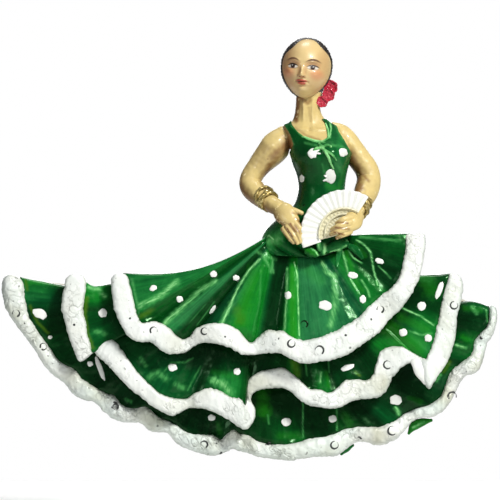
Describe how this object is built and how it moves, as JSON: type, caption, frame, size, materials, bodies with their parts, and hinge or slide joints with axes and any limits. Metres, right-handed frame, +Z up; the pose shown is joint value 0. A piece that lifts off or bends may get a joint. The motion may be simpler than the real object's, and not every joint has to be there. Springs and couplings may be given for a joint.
{
  "type": "souvenir figurine magnet",
  "caption": "Flat-backed resin relief of a dancer with an open fan and a wide three-flounce polka-dot dress, with a round magnet let into its back.",
  "frame": {"origin": "centre of the round magnet's outer face, the face that meets the surface it is stuck to", "axes": "+Z up the figure, +Y out of the back through the magnet, -Y out of the front of the relief, +X to the right as the front is looked at"},
  "size_m": [0.09, 0.0192, 0.0767],
  "materials": {
    "green_enamel": "glossy emerald green enamel over cast resin",
    "white_paint": "satin white paint over cast resin, with a thin grey wash in its lace pattern",
    "skin_paint": "satin warm skin-coloured paint with a brown wash in its creases",
    "hair_paint": "satin near-black paint",
    "red_paint": "glossy crimson paint",
    "gold_paint": "gold metallic paint over resin, dark in its creases",
    "fan_paint": "satin off-white paint",
    "bare_resin": "bare cast resin, ground flat",
    "ferrite": "matt dark grey sintered ferrite",
    "glue": "set epoxy adhesive"
  },
  "bodies": {
    "root": {"backing": "bare_resin", "magnet": "ferrite", "magnet_glue": "glue", "upper_flounce": "green_enamel", "upper_trim": "white_paint", "middle_flounce": "green_enamel", "middle_trim": "white_paint", "lower_flounce": "green_enamel", "lower_trim": "white_paint", "hip_yoke": "green_enamel", "sash_bow": "green_enamel", "bodice": "green_enamel", "neckline_cord": "green_enamel", "neck_and_chest": "skin_paint", "head": "skin_paint", "hair_cap": "hair_paint", "hair_bun": "hair_paint", "hair_flower": "red_paint", "right_upper_arm": "skin_paint", "right_forearm": "skin_paint", "right_hand": "skin_paint", "left_upper_arm": "skin_paint", "left_forearm": "skin_paint", "left_hand": "skin_paint", "right_bangle_upper": "gold_paint", "right_bangle_lower": "gold_paint", "left_bangle_upper": "gold_paint", "left_bangle_lower": "gold_paint", "fan_leaf": "fan_paint", "fan_sticks": "fan_paint"}
  },
  "joints": []
}
